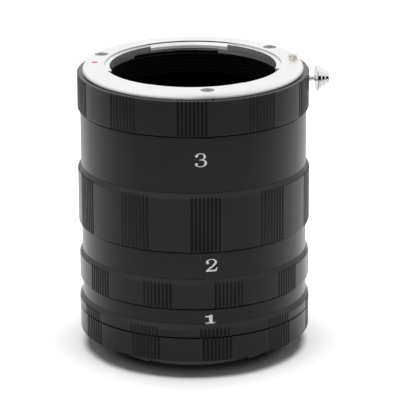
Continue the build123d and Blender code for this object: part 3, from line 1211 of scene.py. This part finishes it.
def make_world():
    """Plain light on the object, strongest from above, with a white background that metal shows too."""
    world = bpy.data.worlds.new("studio")
    bpy.context.scene.world = world
    world.use_nodes = True
    tree = world.node_tree
    tree.nodes.clear()
    output = node(tree, "ShaderNodeOutputWorld")
    background = node(tree, "ShaderNodeBackground")
    path = node(tree, "ShaderNodeLightPath")
    place = node(tree, "ShaderNodeTexCoord")
    split = node(tree, "ShaderNodeSeparateXYZ")
    tree.links.new(place.outputs["Generated"], split.inputs["Vector"])
    plain = ranged(tree, split.outputs["Z"], 0.0, 1.0, sky_low, sky_high)
    open_sky = ranged(tree, split.outputs["Y"], -1.0, 0.1, sky_front, 1.0)
    sideways = ranged(tree, split.outputs["X"], -0.6, 0.3, sky_left, sky_right)
    frontal = ranged(tree, split.outputs["Y"], -0.35, 0.15, 1.0, 0.0)
    open_sky = product(tree, open_sky, blended(tree, frontal, 1.0, sideways))
    off_middle = worked(tree, "SUBTRACT", split.outputs["X"], patch_middle)
    narrow = ranged(tree, worked(tree, "ABSOLUTE", off_middle, 0.0), *patch_side, 1.0, 0.0)
    lowness = ranged(tree, split.outputs["Z"], *patch_upper, 1.0, 0.0)
    frontness = ranged(tree, split.outputs["Y"], *patch_back, 1.0, 0.0)
    dark_patch = product(tree, narrow, lowness, frontness)
    mirrored = blended(tree, dark_patch, open_sky, patch_level)
    gloss = worked(tree, "MAXIMUM", path.outputs["Is Glossy Ray"], path.outputs["Is Transmission Ray"])
    level = blended(tree, gloss, plain, mirrored)
    level = blended(tree, path.outputs["Is Camera Ray"], level, 1.0)
    tree.links.new(level, background.inputs["Color"])
    tree.links.new(background.outputs["Background"], output.inputs["Surface"])


def linked(name, data):
    """An object for some data, in the scene."""
    made = bpy.data.objects.new(name, data)
    bpy.context.scene.collection.objects.link(made)
    return made


def make_lamp():
    """A soft box straight above the object, not seen in reflections."""
    data = bpy.data.lights.new("top_box", "AREA")
    data.shape = "RECTANGLE"
    data.size = lamp_size
    data.size_y = lamp_size
    data.energy = lamp_power
    lamp = linked("top_box", data)
    lamp.location = (0, 0, lamp_height)
    aim = Vector((0, 0, lamp_target - lamp_height))
    lamp.rotation_euler = aim.to_track_quat("-Z", "Y").to_euler()
    lamp.visible_glossy = False


def make_camera():
    """The photograph's long lens view from a little above."""
    distance = 800.0
    elevation = math.radians(17.782)
    aim_height = 42.0
    pitch = 0.31286
    yaw = 0.00219
    roll = -0.00582
    data = bpy.data.cameras.new("camera")
    data.lens = 266.823
    data.sensor_width = 36.0
    data.clip_start = 0.05
    data.clip_end = 10.0
    camera = linked("camera", data)
    place = Matrix.Translation(Vector((0, -distance * math.cos(elevation),
                                       distance * math.sin(elevation) + aim_height)) * MM)
    turn = Matrix.Rotation(-yaw, 4, "Z") @ Matrix.Rotation(math.pi / 2 - pitch, 4, "X")
    camera.matrix_world = place @ turn @ Matrix.Rotation(roll, 4, "Z")
    bpy.context.scene.camera = camera


anodised = black_anodised()
bore_black = matt_black()
chrome = satin_chrome("satin_chrome", (0.885, 0.89, 0.885), (0.915, 0.918, 0.912), 0.32, 0.40)
# Brighter copy of the satin chrome for the sloping lead between the claws: a painted highlight.
lead_painted_highlight_chrome = satin_chrome("satin_chrome_lead_painted_highlight", (0.965, 0.97, 0.965), (0.98, 0.985, 0.98), 0.26, 0.32)
# Brighter, rougher copy of the satin chrome for the upright walls between the claws: painted light.
land_painted_light_chrome = satin_chrome("satin_chrome_land_painted_light", (0.93, 0.94, 0.93), (0.96, 0.965, 0.96), 0.62, 0.72)
# Dark grey copy of the satin chrome for the claws' upright inner faces: painted shade.
claw_painted_shade_chrome = satin_chrome("satin_chrome_claw_painted_shade", (0.40, 0.41, 0.41), (0.46, 0.47, 0.47), 0.5, 0.6)
# Dark grey copy of the satin chrome for the low wall round the throat's top and the camera bayonet's tube
# and lugs: painted shade.
painted_shade_chrome = satin_chrome("satin_chrome_painted_shade", (0.40, 0.40, 0.40), (0.50, 0.50, 0.50), 0.30, 0.40)
bright_chrome = polished_chrome()
pin_steel = polished_steel("polished_steel", (0.66, 0.62, 0.53), (0.74, 0.70, 0.61))
stem_steel = polished_steel("polished_steel_stem", (0.72, 0.72, 0.71), (0.80, 0.80, 0.79))
leaf_steel = spring_steel()
screw_steel = dark_screw_steel()
enamel = red_enamel()
paint = white_paint()

# Height of each tube's smooth band, and its knurl's phase
tube_bands = {"tube_1": (4.4, 10.2), "tube_2": (7.75, 17.35), "tube_3": (15.55, 5.8)}
tubes = {}
for name, (smooth_height, phase) in tube_bands.items():
    tubes[name] = dress(make_tube(name, smooth_height, phase), anodised, name, "black_anodised", name)
    finish_faces(tubes[name], bore_black, in_bore)
camera_ring = dress(make_camera_ring(), anodised, "camera_mount", "black_anodised", "camera_ring")
lens_ring = dress(make_lens_ring(), anodised, "lens_mount", "black_anodised", "lens_ring")
finish_faces(camera_ring, bore_black, in_bore)
finish_faces(lens_ring, bore_black, in_bore)

flange = dress(make_flange(), chrome, "lens_mount", "satin_chrome", "bayonet_flange")
# The flange's lead, land, claw and throat step faces get lit and shaded copies of its chrome: painted light
# and shade.
for finish, test in ((claw_painted_shade_chrome, on_claw), (land_painted_light_chrome, on_land), (lead_painted_highlight_chrome, on_lead),
                     (painted_shade_chrome, on_throat_step)):
    finish_faces(flange, finish, test)
bayonet = dress(make_camera_bayonet(), chrome, "camera_mount", "satin_chrome", "camera_bayonet")
# The bayonet's tube and lugs, in shade under the camera ring, get the painted shade copy of the chrome.
finish_faces(bayonet, painted_shade_chrome, on_bayonet_tube)
screw_sets = (
    ("bayonet_flange_screws", "lens_mount", screw_circle, screw_angles, flange_top, False),
    ("camera_bayonet_screws", "camera_mount", plate_screw_circle, plate_screw_angles, seat, True),
)
for name, body, circle, angles, top, upwards in screw_sets:
    screws = joined(name + "_set", spread(make_screw(), circle, angles, top, upwards))
    dress(screws, screw_steel, body, "dark_screw_steel", name)
dress(make_bead(), enamel, "lens_mount", "red_enamel", "index_bead")
for number, span in enumerate(claw_angles, 1):
    node_name = "claw_spring_" + str(number)
    dress(make_claw_spring(node_name + "_leaf", span), leaf_steel, "lens_mount", "spring_steel", node_name)

dress(make_lock_pin(), pin_steel, "release", "polished_steel", "lock_pin")
dress(make_stem(), stem_steel, "release", "polished_steel", "release_stem")
dress(make_button(), bright_chrome, "release", "polished_chrome", "release_button")
lock_spring = dress(make_lock_spring(), leaf_steel, "lens_mount", "spring_steel", "lock_pin_spring")
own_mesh(lock_spring)

# Tube, outline, bearing and height of each numeral
numerals = {
    "numeral_3": ("tube_3", numeral_3, 3.64, 60.42),
    "numeral_2": ("tube_2", numeral_2, 8.69, 31.60),
    "numeral_1": ("tube_1", numeral_1, 8.04, 16.59),
}
for name, (tube, outline, bearing, height) in numerals.items():
    dress(make_numeral(name, outline, tubes[tube], bearing, height), paint, tube)

make_stage()
make_world()
make_lamp()
make_camera()
bpy.context.scene.view_settings.view_transform = "Standard"

object_mode()
